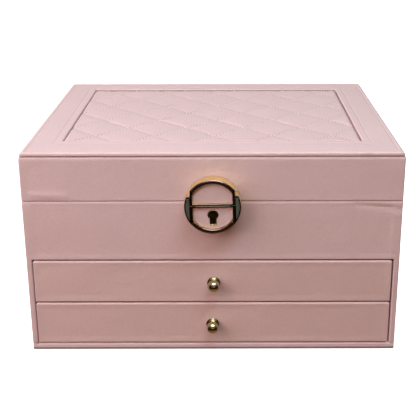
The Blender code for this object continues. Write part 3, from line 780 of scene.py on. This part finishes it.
def make_stitching():
    """Stitches along the quilting lines and round the top board."""
    work = bmesh.new()
    inset = Vector((1.2 * MM, 1.2 * MM))
    low, high = FIELD_LOW + inset, FIELD_HIGH - inset
    reach = 12
    skew = QUILT_SKEW * (QUILT_MIDDLE.y - FIELD_LOW.y)
    for way in (1, -1):
        direction = Vector((QUILT_X + way * QUILT_SKEW * -QUILT_Y, -way * QUILT_Y)).normalized()
        for i in range(-reach, reach + 1):
            point = QUILT_MIDDLE + Vector(((i + 0.5) * QUILT_X + skew, 0))
            stretch = clip_line(point, direction, low, high)
            if stretch:
                radius = THREAD_R if way < 0 else 0.72 * THREAD_R
                stitch_line(work, *stretch, lambda x, y: QUILT_BASE + 0.08 * MM, radius)
    quilting = len(work.faces)
    for x0, y0, x1, y1 in seam_rectangles():
        corners = [Vector(c) for c in ((x0, y0), (x1, y0), (x1, y1), (x0, y1))]
        sides = list(zip(corners, corners[1:] + corners[:1]))
        for start, end in sides[1:] if x0 > FIELD_LOW.x - 6 * MM else sides:
            stitch_line(work, start, end, lambda x, y: TOP_HIGH.z - 0.3 * MM, 0.5 * THREAD_R)
    bmesh.ops.recalc_face_normals(work, faces=work.faces)
    for i, face in enumerate(work.faces):
        face.smooth = True
        face.material_index = int(i >= quilting)
    stitching = object_from("top_stitching", work)
    stitching.data.materials.append(THREAD)
    stitching.data.materials.append(BORDER_THREAD)
    return settle(stitching, "lid", "top_leather")


make_top_board()
make_quilt()
make_stitching()

# ---- the lock
LOCK_SPLIT_Z = SEAM_Z - 0.1 * MM
LOCK_X = 0.3 * MM
LOCK_TILT = math.radians(1.4)
RING_R = 19.1 * MM
RING_DROP = 0.9 * MM          # centre of the ring below the split
WINDOW_R = 16.3 * MM
WINDOW_HALF_X = 13.7 * MM
HASP_HALF_X = 15.1 * MM
EAR_TOP = 6.7 * MM
BAR = 1.1 * MM                # bars on both sides of the split
SPLIT_GAP = 0.15 * MM
LOCK_BACK = 0.3 * MM
LOCK_FRONT = FRONT_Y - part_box("lock_case")[0].y
INLAY_BACK = 7.8 * MM
INLAY_FRONT = 9.0 * MM
KEY_Y = -6.8 * MM
KEYHOLE_R = 3.3 * MM
KEYHOLE_SLOT_HALF_X = 2.0 * MM
KEYHOLE_BOTTOM = -13.6 * MM
ARC_STEPS = 72
LOCK_FRAME = (Matrix.Translation((LOCK_X, FRONT_Y, LOCK_SPLIT_Z)) @ Matrix.Rotation(math.pi / 2, 4, "X")
              @ Matrix.Rotation(LOCK_TILT, 4, "Z"))


def arc(centre, radius, start, end, steps):
    """Points along an arc, from one angle in degrees to another."""
    points = []
    for i in range(steps + 1):
        angle = math.radians(start + (end - start) * i / steps)
        points.append((centre[0] + radius * math.cos(angle), centre[1] + radius * math.sin(angle)))
    return points


def half_outline(radius, half_x, way, split):
    """The upper (way 1) or lower half of a round outline with straight sides, cut off flat."""
    tilt = math.degrees(math.acos(half_x / radius))
    start, end = (tilt, 180 - tilt) if way > 0 else (180 + tilt, 360 - tilt)
    points = arc((0, -RING_DROP), radius, start, end, ARC_STEPS // 2)
    ends = [(-half_x, split), (half_x, split)] if way > 0 else [(half_x, split), (-half_x, split)]
    return points + ends


def case_outline():
    """The case's half of the ring, with an ear up each side of the hasp."""
    ear_in = HASP_HALF_X + 0.35 * MM
    ear_angle = math.degrees(math.asin((EAR_TOP + RING_DROP) / RING_R))
    ring = arc((0, -RING_DROP), RING_R, 180 - ear_angle, 360 + ear_angle, ARC_STEPS)
    return ring + [(ear_in, EAR_TOP), (ear_in, -SPLIT_GAP), (-ear_in, -SPLIT_GAP), (-ear_in, EAR_TOP)]


def keyhole_outline(grow=0.0):
    """A round hole with a slot below it, grown by a margin."""
    radius, half_x = KEYHOLE_R + grow, KEYHOLE_SLOT_HALF_X + grow
    opening = math.degrees(math.asin(half_x / radius))
    head = arc((0, KEY_Y), radius, -90 + opening, 270 - opening, 40)
    return head + [(-half_x, KEYHOLE_BOTTOM - grow), (half_x, KEYHOLE_BOTTOM - grow)]


def plate(name, outlines, back, front, edge, mat, cuts=(), segments=4):
    """A flat plate in the lock's frame, filled between its outlines, with rounded edges."""
    flat = bpy.data.curves.new(name, "CURVE")
    flat.dimensions = "2D"
    flat.fill_mode = "BOTH"
    flat.extrude = (front - back) / 2
    for outline in outlines:
        line = flat.splines.new("POLY")
        line.points.add(len(outline) - 1)
        for point, (x, y) in zip(line.points, outline):
            point.co = (x, y, 0, 1)
        line.use_cyclic_u = True
    holder = object_from(name, flat)
    holder.matrix_world = LOCK_FRAME @ Matrix.Translation((0, 0, (front + back) / 2))
    work = applied(holder)
    bmesh.ops.remove_doubles(work, verts=work.verts, dist=1e-6)
    work = carved(object_from(name, work), cuts, LOCK_FRAME)
    bmesh.ops.dissolve_limit(work, angle_limit=math.radians(0.6), verts=work.verts, edges=work.edges)
    work = rounded(work, edge, segments, limit_method="ANGLE", angle_limit=math.radians(35))
    outward = LOCK_FRAME.to_3x3() @ Vector((0, 0, 1))
    # The lock's darkened gold (painted shade) goes on the front and back faces only; the sides take the satin
    # gold.
    side = SATIN_GOLD if mat == SHADED_LOCK_GOLD else mat
    return finish_mesh(name, work, [mat, side], lambda face: int(abs(face.normal.dot(outward)) < 0.15))


def crown(name, path, half_width, height, body):
    """A rounded moulding along a path on the lock's face, closed below and at its ends."""
    count = 10
    section = [(half_width * math.cos(math.pi * k / count), height * math.sin(math.pi * k / count))
               for k in range(count + 1)]
    section += [(-half_width, -0.1 * MM), (half_width, -0.1 * MM)]
    work = bmesh.new()
    rings = []
    for i, point in enumerate(path):
        before, after = Vector(path[max(i - 1, 0)]), Vector(path[min(i + 1, len(path) - 1)])
        along = (after - before).normalized()
        across = Vector((along.y, -along.x))
        rings.append([work.verts.new((point[0] + across.x * s, point[1] + across.y * s, LOCK_FRONT + h))
                      for s, h in section])
    bridge(work, rings)
    work.faces.new(rings[0])
    work.faces.new(rings[-1][::-1])
    bmesh.ops.recalc_face_normals(work, faces=work.faces)
    work.transform(LOCK_FRAME)
    settle(finish_mesh(name, work, [SHADED_LOCK_GOLD]), body, "gold_metal")


def make_crowns():
    """Rounded faces on the ring's arcs and on the two bars beside the split."""
    radius = (RING_R + WINDOW_R) / 2
    half = (RING_R - WINDOW_R) / 2 - 0.15 * MM
    for name, body, start, end, way in (("hasp", "lid", 40, 140, 1), ("lock", "case", 219, 321, -1)):
        crown(f"{name}_arc", arc((0, -RING_DROP), radius, start, end, 48), half, 0.42 * MM, body)
        level = way * (SPLIT_GAP + BAR / 2)
        reach = WINDOW_HALF_X - 0.2 * MM
        bar = [(-reach + 2 * reach * i / 8, level) for i in range(9)]
        crown(f"{name}_bar", bar, 0.46 * MM, 0.12 * MM, body)


def ear_outline(way):
    """The flat of the ear on one side (way 1 is the right), inside its polished border."""
    border = 0.85 * MM
    inner_x = HASP_HALF_X + 0.35 * MM + 0.25 * MM
    radius = RING_R - border
    top = math.degrees(math.asin((EAR_TOP - 1.6 * border + RING_DROP) / radius))
    bottom = -math.degrees(math.acos(inner_x / radius))
    ring = arc((0, -RING_DROP), radius, bottom, top, 16) + [(inner_x, EAR_TOP - 1.6 * border)]
    return [(way * x, y) for x, y in ring][::way]


def make_lock():
    """Ring, hasp and inlays, each a plate with rounded edges; the split runs across the ring."""
    window = half_outline(WINDOW_R, WINDOW_HALF_X, 1, SPLIT_GAP + BAR)
    outer = half_outline(RING_R, HASP_HALF_X, 1, SPLIT_GAP)
    tongue_slot = ((5.9 * MM, -BAR, 3.9 * MM), (8.9 * MM, 2 * BAR, 6.5 * MM))
    hasp = plate("hasp_metal", [outer, window], LOCK_BACK, LOCK_FRONT, 0.4 * MM, SHADED_LOCK_GOLD,
                 [tongue_slot])
    settle(hasp, "lid", "gold_metal", "hasp_frame")
    clear = 0.15 * MM
    inlay = half_outline(WINDOW_R - clear, WINDOW_HALF_X - clear, 1, SPLIT_GAP + BAR + clear)
    settle(plate("hasp_leather", [inlay], INLAY_BACK, INLAY_FRONT, 0.45 * MM, INLAY_LEATHER),
           "lid", "inlay_leather", "hasp_inlay")

    window = half_outline(WINDOW_R, WINDOW_HALF_X, -1, -SPLIT_GAP - BAR)
    works_slot = ((3.3 * MM, -2 * BAR, 3.8 * MM), (9.2 * MM, BAR, 6.6 * MM))
    ring = plate("lock_metal", [case_outline(), window], LOCK_BACK, LOCK_FRONT, 0.4 * MM, SHADED_LOCK_GOLD,
                 [works_slot])
    settle(ring, "case", "gold_metal", "lock_case")
    for side, way in (("left", -1), ("right", 1)):
        # Each ear's flat carries the painted reflection.
        flat = plate(f"lock_ear_{side}", [ear_outline(way)], LOCK_FRONT - 0.5 * MM, LOCK_FRONT + 0.04 * MM,
                     0.1 * MM, EAR_REFLECTION, segments=2)
        settle(flat, "case", "gold_metal")
    inlay = half_outline(WINDOW_R - clear, WINDOW_HALF_X - clear, -1, -SPLIT_GAP - BAR - clear)
    settle(plate("lock_leather", [inlay, keyhole_outline(0.2 * MM)], INLAY_BACK, INLAY_FRONT, 0.4 * MM,
                 INLAY_LEATHER), "case", "inlay_leather", "lock_inlay")
    rim = plate("keyhole_rim", [keyhole_outline(0.45 * MM), keyhole_outline(-0.15 * MM)],
                INLAY_BACK - 1.2 * MM, INLAY_FRONT + 0.3 * MM, 0.25 * MM, GOLD)
    settle(rim, "case", "gold_metal")


make_lock()
make_crowns()


# ---- the drawer knobs
def turned(name, profile, matrix, mat, sides=64):
    """A turned piece from a profile of radius and height, both in metres, along the matrix's Z."""
    work = lathe(profile, sides)
    bmesh.ops.recalc_face_normals(work, faces=work.faces)
    work.transform(matrix)
    return finish_mesh(name, work, [mat])


def knob_profile(reach):
    """Collar, neck and ball of a drawer knob, from its back up to the crown, in millimetres."""
    ball_r = 4.25
    ball_z = reach - ball_r
    foot = [(0, 0), (4.35, 0)] + arc((4.35, 0.25), 0.25, -90, 0, 3) + arc((4.3, 0.95), 0.3, 0, 90, 4)
    neck = [(3.8, 1.3), (3.65, 1.6), (3.6, 2.4), (3.6, 4.0)]
    return foot + neck + arc((0, ball_z), ball_r, -26, 90, 28)


def make_knob(which):
    """A drawer's turned knob."""
    node = f"drawer_{which}_knob"
    low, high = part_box(node)
    centre = (low + high) / 2
    reach = (high.y - low.y) / MM
    profile = [(max(r, 0) * MM, z * MM) for r, z in knob_profile(reach)]
    profile[-1] = (0.0, profile[-1][1])
    place = Matrix.Translation((centre.x, high.y, centre.z)) @ Matrix.Rotation(math.pi / 2, 4, "X")
    knob = turned(f"{node}_polished", profile, place, KNOB_GOLD)
    settle(knob, f"drawer_{which}", "gold_metal", node)


for drawer in ("upper", "lower"):
    make_knob(drawer)


# ---- interior
SLOTS = {part["node"]: part["material_slot"] for part in frame["record"]["subparts"]}


def wrapped_box(node, body, materials, radius, cuts=(), wave=0.10 * MM, pitch=6 * MM, softness=None,
                choose=None):
    """A CAD board as cloth over card: rounded edges, faint waves that stay inside the board."""
    low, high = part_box(node)
    work = hollowed_box(low, high, cuts, radius, softness, 4)
    slice_mesh(work, [steps_between(low[i], high[i], pitch) for i in range(3)])
    work.normal_update()
    for vert in work.verts:
        vert.co -= vert.normal * (wave * (0.5 + 0.5 * noise.noise(vert.co * 55)))
    return settle(finish_mesh(f"{node}_wrapped", work, materials, choose), body, SLOTS[node], node)


def make_compartment():
    """The upper compartment's lining walls, dividers and floor, in velvet."""
    for node in ("lining_front", "lining_back", "lining_left", "lining_right", "divider_main", "divider_left",
                 "divider_right_front", "divider_right_back", "divider_cross"):
        wrapped_box(node, "case", [VELVET], 0.9 * MM)
    wrapped_box("tray_floor", "case", [VELVET], 0.5 * MM, wave=0.2 * MM)


def make_drawer_inside(which):
    """A drawer's tray, lined with velvet, with its divider and its pad."""
    body = f"drawer_{which}"
    node = f"{body}_tray"
    low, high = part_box(node)
    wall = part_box(f"{body}_pad")[0].x - low.x
    inner_low = (low.x + wall, low.y + wall, low.z + wall)
    inner_high = (high.x - wall, high.y - wall, high.z + wall)

    def lined(face):
        at = face.calc_center_median()
        inside = all(inner_low[i] - 0.4 * MM < at[i] < inner_high[i] + 0.4 * MM for i in range(2))
        return int(inside or at.z > high.z - 0.5 * MM)

    wrapped_box(node, body, [LEATHER, VELVET], 0.8 * MM, [(inner_low, inner_high)], 0.06 * MM, 9 * MM,
                choose=lined)
    wrapped_box(f"{body}_divider", body, [VELVET], 0.9 * MM)
    pad = wrapped_box(f"{body}_pad", body, [VELVET], 0.7 * MM, wave=0.3 * MM)


def make_lid_inside():
    """The lid's lining, and the mirror with a bevelled edge in its wrapped frame."""
    wrapped_box("lid_lining", "lid", [VELVET], 0.5 * MM, wave=0.15 * MM)
    low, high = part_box("mirror_frame")
    glass_low, glass_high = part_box("mirror_glass")
    gap = Vector((0.3 * MM, 0.3 * MM, 1.0))
    wrapped_box("mirror_frame", "lid", [LEATHER], 1.1 * MM, [(glass_low - gap, glass_high + gap)], 0.08 * MM,
                softness=lambda middle, along: 1.0 if middle.z < (low.z + high.z) / 2 else 0.2)
    work = box_mesh(glass_low, glass_high)
    work.normal_update()
    face = min(work.faces, key=lambda f: f.calc_center_median().z)
    rim = list(face.verts)
    bmesh.ops.inset_region(work, faces=[face], thickness=7 * MM)
    for vert in rim:
        vert.co.z += 0.7 * MM
    glass = finish_mesh("mirror_bevelled", work, [MIRROR])
    for face in glass.data.polygons:
        face.use_smooth = False
    settle(glass, "lid", SLOTS["mirror_glass"], "mirror_glass")


def roll_mesh(low, high):
    """A foam roll before it is inflated: flat base, round top, ends drawn in."""
    inset = 0.55 * MM
    radius = (high.y - low.y) / 2 - inset
    length = high.x - low.x - 2 * inset
    middle_y, base, crown = (low.y + high.y) / 2, low.z + inset, high.z - inset - radius
    outline = [(middle_y + radius * t, base) for t in (-0.8, -0.4, 0, 0.4, 0.8)]
    outline += [(middle_y + radius, base + (crown - base) * t) for t in (0.12, 0.45, 0.75)]
    outline += [(y, z) for y, z in arc((middle_y, crown), radius, 0, 180, 14)]
    outline += [(middle_y - radius, base + (crown - base) * t) for t in (0.75, 0.45, 0.12)]
    middle_z = (base + high.z) / 2
    work = bmesh.new()
    rings = []
    ends = [(0, 0.72), (0.5, 0.86), (1.3, 0.94), (2.6, 0.985)]
    places = [(x * MM, scale) for x, scale in ends]
    places += [(x, 1.0) for x in steps_between(4 * MM, length - 4 * MM, 2.4 * MM)]
    places += [(length - x * MM, scale) for x, scale in reversed(ends)]
    for x, scale in places:
        rings.append([work.verts.new((low.x + inset + x, middle_y + (y - middle_y) * scale,
                                      middle_z + (z - middle_z) * scale)) for y, z in outline])
    bridge(work, rings, backwards=True)
    work.faces.new(rings[0])
    work.faces.new(rings[-1][::-1])
    bmesh.ops.recalc_face_normals(work, faces=work.faces)
    return work


def inflate(body, frames=20, pressure=4.0, reach=0.5 * MM):
    """Blow up a closed shape as cloth, holding each point within reach of where it began.

    Returns a bmesh; the object is removed.
    """
    start = [v.co.copy() for v in body.data.vertices]
    cloth = body.modifiers.new("inflate", "CLOTH")
    cloth.settings.quality = 6
    cloth.settings.mass = 0.2
    cloth.settings.use_pressure = True
    cloth.settings.uniform_pressure_force = pressure
    cloth.settings.effector_weights.gravity = 0.0
    cloth.point_cache.frame_start, cloth.point_cache.frame_end = 1, frames
    scene = bpy.context.scene
    for step in range(1, frames + 1):
        scene.frame_set(step)
    work = applied(body)
    scene.frame_set(1)
    work.verts.ensure_lookup_table()
    for vert, before in zip(work.verts, start):
        move = vert.co - before
        if move.length > reach:
            vert.co = before + move * (reach / move.length)
    return work


def make_ring_rolls():
    """Six padded velvet rolls: one is inflated as cloth, and each copy gets its own dents."""
    low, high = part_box("ring_roll_1")
    work = roll_mesh(low, high)
    work = inflate(object_from("roll", work))
    soft = mesh_from("roll", work)
    for i in range(6):
        node = f"ring_roll_{i + 1}"
        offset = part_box(node)[0] - low
        work = bmesh.new()
        work.from_mesh(soft)
        work.normal_update()
        for vert in work.verts:
            dent = noise.noise(Vector((vert.co.x * 70, vert.co.z * 70, 7.3 * i)))
            ends = min(vert.co.x - low.x, high.x - vert.co.x)
            angle = math.atan2(vert.co.z - (low.z + high.z) / 2, vert.co.y - (low.y + high.y) / 2)
            pleat = 0.16 * MM * math.cos(17 * angle + i) * math.exp(-ends / (2.0 * MM))
            vert.co += vert.normal * (0.14 * MM * dent + pleat) + offset
        roll = finish_mesh(f"{node}_soft", work, [VELVET])
        smooth = roll.modifiers.new("smooth", "SUBSURF")
        smooth.levels = smooth.render_levels = 1
        settle(roll, "case", SLOTS[node], node)
    bpy.data.meshes.remove(soft)


def screw_head():
    """A domed screw head with a cross recess, along Z, as a mesh."""
    profile = [(0, -0.1), (1.75, -0.1), (1.8, 0.12), (1.55, 0.42), (1.1, 0.62), (0.55, 0.72), (0, 0.75)]
    head = turned("head", [(r * MM, z * MM) for r, z in profile], Matrix.Identity(4), GOLD, 32)
    head.modifiers.clear()
    long, thin = 1.15 * MM, 0.19 * MM
    cuts = [((-x, -y, 0.3 * MM), (x, y, 2 * MM)) for x, y in ((long, thin), (thin, long))]
    return mesh_from("head", carved(head, cuts))


def make_hinge_screws():
    """Two screws in each hinge leaf."""
    head = screw_head()
    turns = random.Random(5)
    for leaf, body in (("lower", "case"), ("upper", "lid")):
        for side in ("left", "right"):
            low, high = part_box(f"hinge_{leaf}_leaf_{side}")
            plate_back = low.y + 0.8 * MM
            height = low.z + 4.2 * MM if leaf == "lower" else high.z - 4.2 * MM
            work = bmesh.new()
            for x in (low.x + 5 * MM, high.x - 5 * MM):
                one = head.copy()
                place = Matrix.Translation((x, plate_back, height)) @ Matrix.Rotation(-math.pi / 2, 4, "X")
                one.transform(place @ Matrix.Rotation(turns.uniform(0, math.pi), 4, "Z"))
                work.from_mesh(one)
                bpy.data.meshes.remove(one)
            settle(finish_mesh(f"hinge_{leaf}_screws_{side}", work, [GOLD]), body, "gold_metal")
    bpy.data.meshes.remove(head)


make_compartment()
for drawer in ("upper", "lower"):
    make_drawer_inside(drawer)
make_lid_inside()
make_ring_rolls()
make_hinge_screws()


# ---- CAD nodes that stay
KEPT = {
    "velvet": VELVET, "gold_metal": GOLD, "mirror": MIRROR, "felt": FELT,
    "leather": LEATHER, "top_leather": LEATHER, "inlay_leather": INLAY_LEATHER,
}
WORKS = ("lock_tumbler", "lock_back_plate", "hasp_tongue")
LEAVES = tuple(f"hinge_{leaf}_leaf_{side}" for leaf in ("lower", "upper") for side in ("left", "right"))
for part in frame["record"]["subparts"]:
    shown = frame["nodes"][part["node"]]
    # The lock's works take the darkened metal: painted shade.
    finish = SHADED_WORKS if part["node"] in WORKS else KEPT[part["material_slot"]]
    if part["node"] in LEAVES:
        finish = SATIN_GOLD
    shown.data.materials.clear()
    shown.data.materials.append(finish)


# ---- floor, light and camera
def make_studio():
    """A pale floor that curves up into a pale backdrop all round, seen only by the camera."""
    radius, bend, height, sides = 4.5, 1.5, 3.5, 96
    profile = [(0.0, 0.0), (1.0, 0.0), (2.5, 0.0), (radius, 0.0)]
    profile += [(radius + bend * math.sin(a), bend * (1 - math.cos(a)))
                for a in (math.pi / 2 * i / 12 for i in range(1, 13))]
    profile.append((radius + bend, height))
    work = lathe(profile, sides, backwards=True)
    for face in work.faces:
        face.smooth = True
    studio = object_from("studio_floor", work)
    finish = Finish("studio", {"Roughness": 0.9, "Specular IOR Level": 0.0,
                               "Emission Color": (1.0, 1.0, 1.0, 1.0), "Emission Strength": 0.78})
    finish.tint(finish.clouds(0.8), (0.3, (0.88, 0.88, 0.88)), (0.7, (0.9, 0.9, 0.9)))
    studio.data.materials.append(finish.mat)
    studio.visible_glossy = False
    studio.visible_diffuse = False
    studio.visible_transmission = False
    studio.visible_shadow = False


WORLD_COLORS = {"front": (0.056, 0.022, 0.018), "back": (0.246, 0.42, 0.53), "top": (0.446, 0.418, 0.345),
                "low": (0.020, 0.010, 0.009), "ground": (0.30, 0.18, 0.07)}


def make_world():
    """Light all round: dark in front, pale behind and above, warm and dim from below."""
    world = bpy.data.worlds.new("studio")
    bpy.context.scene.world = world
    world.use_nodes = True
    tree = world.node_tree
    node = node_maker(tree)
    place = node("ShaderNodeTexCoord").outputs["Generated"]
    direction = node("ShaderNodeSeparateXYZ", {"Vector": place}).outputs
    tone = (*WORLD_COLORS["front"], 1.0)
    for name, axis, start, end in (("back", "Y", -0.2, 0.6), ("top", "Z", 0.25, 0.75),
                                   ("low", "Z", 0.03, -0.12), ("ground", "Z", -0.45, -0.75)):
        share = node("ShaderNodeMapRange", {"Value": direction[axis], "From Min": start, "From Max": end},
                     interpolation_type="SMOOTHSTEP")
        tone = mixed(node, share.outputs["Result"], tone, (*WORLD_COLORS[name], 1.0))
    tree.links.new(tone, tree.nodes["Background"].inputs["Color"])


def area_light(name, azimuth, elevation, distance, size, power, color=(1, 1, 1), height=None):
    """A soft light aimed at the chest; azimuth 0 is in front of it, positive to its right."""
    target = Vector((0, 0, 0.08))
    across, up = math.radians(azimuth), math.radians(elevation)
    away = Vector((math.sin(across) * math.cos(up), -math.cos(across) * math.cos(up), math.sin(up)))
    lamp = bpy.data.lights.new(name, "AREA")
    lamp.shape = "ELLIPSE"
    lamp.size = size
    lamp.size_y = height or size
    lamp.energy = power
    lamp.color = color
    holder = object_from(name, lamp)
    holder.location = target + away * distance
    holder.rotation_euler = (-away).to_track_quat("-Z", "Y").to_euler()
    return holder


def make_camera():
    """The camera, placed from the middle of the lid; its angles are in degrees."""
    lens = bpy.data.cameras.new("camera")
    lens.sensor_width = 36.0
    lens.lens = 75.74
    lens.shift_x = -0.0536
    lens.shift_y = -0.0494
    camera = object_from("camera", lens)
    camera.location = (0.0111, MIDDLE_Y - 0.6704, 0.3162)
    camera.rotation_euler = (math.radians(90 - 18.87), math.radians(0.08), math.radians(-0.107))
    bpy.context.scene.camera = camera


make_studio()
make_world()
area_light("key", 25, 60, 1.05, 0.75, 6.6, (0.44, 0.745, 0.89), 0.22)
for name, azimuth, elevation, distance, size, power, color in (
        ("side", -66, 32, 1.1, 1.3, 14.4, (1.01, 1.04, 1.16)),
        ("fill", -20, 38, 1.6, 2.0, 10.4, (0.91, 0.75, 0.65)),
        ("warm", 0, -25, 1.2, 1.0, 1.2, (0.65, 0.22, 0.02))):
    area_light(name, azimuth, elevation, distance, size, power, color).visible_glossy = False
for name, azimuth in (("behind", 180), ("right rim", 108), ("left rim", -108)):
    area_light(name, azimuth, 1, 1.3, 0.9, 5.0, (1.0, 0.98, 0.96)).visible_glossy = False
area_light("glint", 0, 10, 1.5, 1.8, 0.6, (1.0, 0.8, 0.95), 0.16).visible_diffuse = False
area_light("edges", 0, 64, 1.2, 1.2, 12.0, (1.0, 0.95, 0.92), 0.6).visible_diffuse = False
make_camera()
bpy.context.scene.view_settings.view_transform = "Standard"
